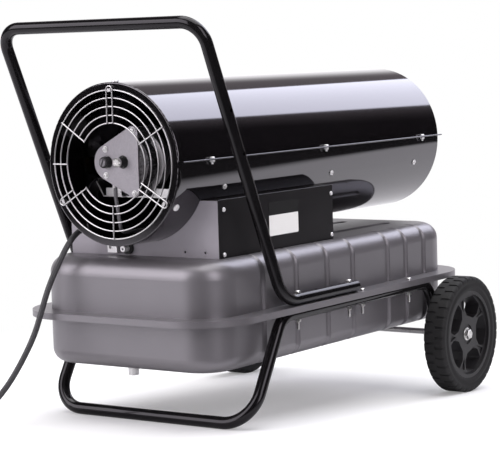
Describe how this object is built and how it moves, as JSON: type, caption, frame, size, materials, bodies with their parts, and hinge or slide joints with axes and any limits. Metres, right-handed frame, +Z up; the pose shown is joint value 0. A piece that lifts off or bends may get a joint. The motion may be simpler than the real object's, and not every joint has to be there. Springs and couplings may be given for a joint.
{
  "type": "forced air heater",
  "caption": "Portable forced air heater: horizontal barrel with fan, pump and burner over a base box and fuel tank, on a wheeled bent-tube frame with a push handle and mains cord.",
  "frame": {"origin": "on the floor under the middle of the heater's bounding box, cord left out", "axes": "+X toward the warm air outlet, +Y away from the side with the sticker, +Z up; the barrel leans up 2.94 degrees toward +X"},
  "size_m": [1.0004, 0.6103, 0.6159],
  "materials": {
    "gloss_black": "gloss black enamel",
    "tank_black": "satin charcoal powder coat",
    "frame_black": "semi-gloss black powder coat",
    "cover_black": "satin black powder coat",
    "panel_grey": "satin mid-grey paint",
    "guard_wire": "bright plated wire",
    "zinc": "bright zinc plate",
    "casting": "die-cast aluminium",
    "cover_plate": "grey plated steel",
    "bare_steel": "plain steel",
    "chamber_steel": "heat-resisting steel",
    "aluminium_sheet": "pressed aluminium",
    "brass": "turned brass",
    "felt": "grey filter felt",
    "carbon": "carbon",
    "black_plastic": "black moulded plastic",
    "switch_plastic": "red moulded rocker",
    "hub_plastic": "charcoal moulded plastic",
    "tyre": "solid rubber tyre",
    "rubber": "black rubber",
    "hose_grey": "grey flexible hose",
    "cord_black": "black rubber cord",
    "ceramic": "white glazed ceramic"
  },
  "bodies": {
    "heater": {"upper_shell": "gloss_black", "lower_shell": "gloss_black", "shell_screws": "zinc", "fan_guard": "guard_wire", "guard_clips": "zinc", "pump_body": "casting", "filter_cover": "cover_plate", "felt_filter": "felt", "pump_screws": "zinc", "gauge_plug": "black_plastic", "motor_housing": "casting", "motor_stator": "bare_steel", "motor_bearings": "bare_steel", "motor_bracket": "zinc", "combustion_chamber": "chamber_steel", "flame_spreader": "chamber_steel", "burner_head": "chamber_steel", "fuel_nozzle": "brass", "ignition_electrodes": "ceramic", "photocell": "black_plastic", "air_hose": "hose_grey", "fuel_hose": "rubber", "base_box": "panel_grey", "side_cover": "cover_black", "control_panel": "cover_black", "cover_screws": "zinc", "switch_frame": "black_plastic", "thermostat_body": "black_plastic", "ignition_transformer": "black_plastic", "tank_upper": "tank_black", "tank_lower": "tank_black", "filler_neck": "zinc", "fuel_gauge": "black_plastic", "fuel_pickup": "zinc", "drain_plug": "zinc", "fuel_grommet": "rubber", "fuel_fittings": "guard_wire", "handle_tube": "frame_black", "frame_tube": "frame_black", "frame_bolts": "zinc", "frame_nuts": "zinc", "wheel_axle": "frame_black", "axle_spacers": "black_plastic", "axle_bolts": "zinc", "cord_gland": "rubber", "power_cord": "cord_black", "cord_coil": "cord_black", "cord_plug": "rubber"},
    "right_wheel": {"right_wheel_hub": "hub_plastic", "right_wheel_tyre": "tyre"},
    "left_wheel": {"left_wheel_hub": "hub_plastic", "left_wheel_tyre": "tyre"},
    "fan_rotor": {"fan": "aluminium_sheet", "motor_shaft": "bare_steel", "pump_rotor": "casting", "pump_vanes": "carbon"},
    "switch_rocker": {"power_switch": "switch_plastic"},
    "thermostat_dial": {"thermostat_knob": "black_plastic"},
    "filler_cap": {"fuel_cap": "black_plastic"},
    "regulator": {"pressure_screw": "guard_wire"}
  },
  "joints": [
    {"name": "right_wheel_spin", "type": "hinge", "parent": "heater", "child": "right_wheel", "pos_m": [0.30251, -0.231, 0.1], "axis": [0, 1, 0], "continuous": true},
    {"name": "left_wheel_spin", "type": "hinge", "parent": "heater", "child": "left_wheel", "pos_m": [0.30251, 0.231, 0.1], "axis": [0, 1, 0], "continuous": true},
    {"name": "fan_spin", "type": "hinge", "parent": "heater", "child": "fan_rotor", "pos_m": [-0.18867, 0, 0.40871], "axis": [0.9987, 0, 0.0513], "continuous": true},
    {"name": "power_rocker", "type": "hinge", "parent": "heater", "child": "switch_rocker", "pos_m": [-0.22354, 0.1397, 0.30779], "axis": [0.9987, 0, 0.0513], "range_deg": [0, 16]},
    {"name": "thermostat_turn", "type": "hinge", "parent": "heater", "child": "thermostat_dial", "pos_m": [-0.15164, 0.1437, 0.31149], "axis": [0, 1, 0], "range_deg": [0, 270]},
    {"name": "cap_turn", "type": "hinge", "parent": "heater", "child": "filler_cap", "pos_m": [0.10787, 0.104, 0.28876], "axis": [-0.0513, 0, 0.9987], "range_deg": [0, 90]},
    {"name": "pressure_turn", "type": "hinge", "parent": "heater", "child": "regulator", "pos_m": [-0.33456, 0.0072, 0.40282], "axis": [0.9987, 0, 0.0513], "range_deg": [-180, 180]}
  ]
}
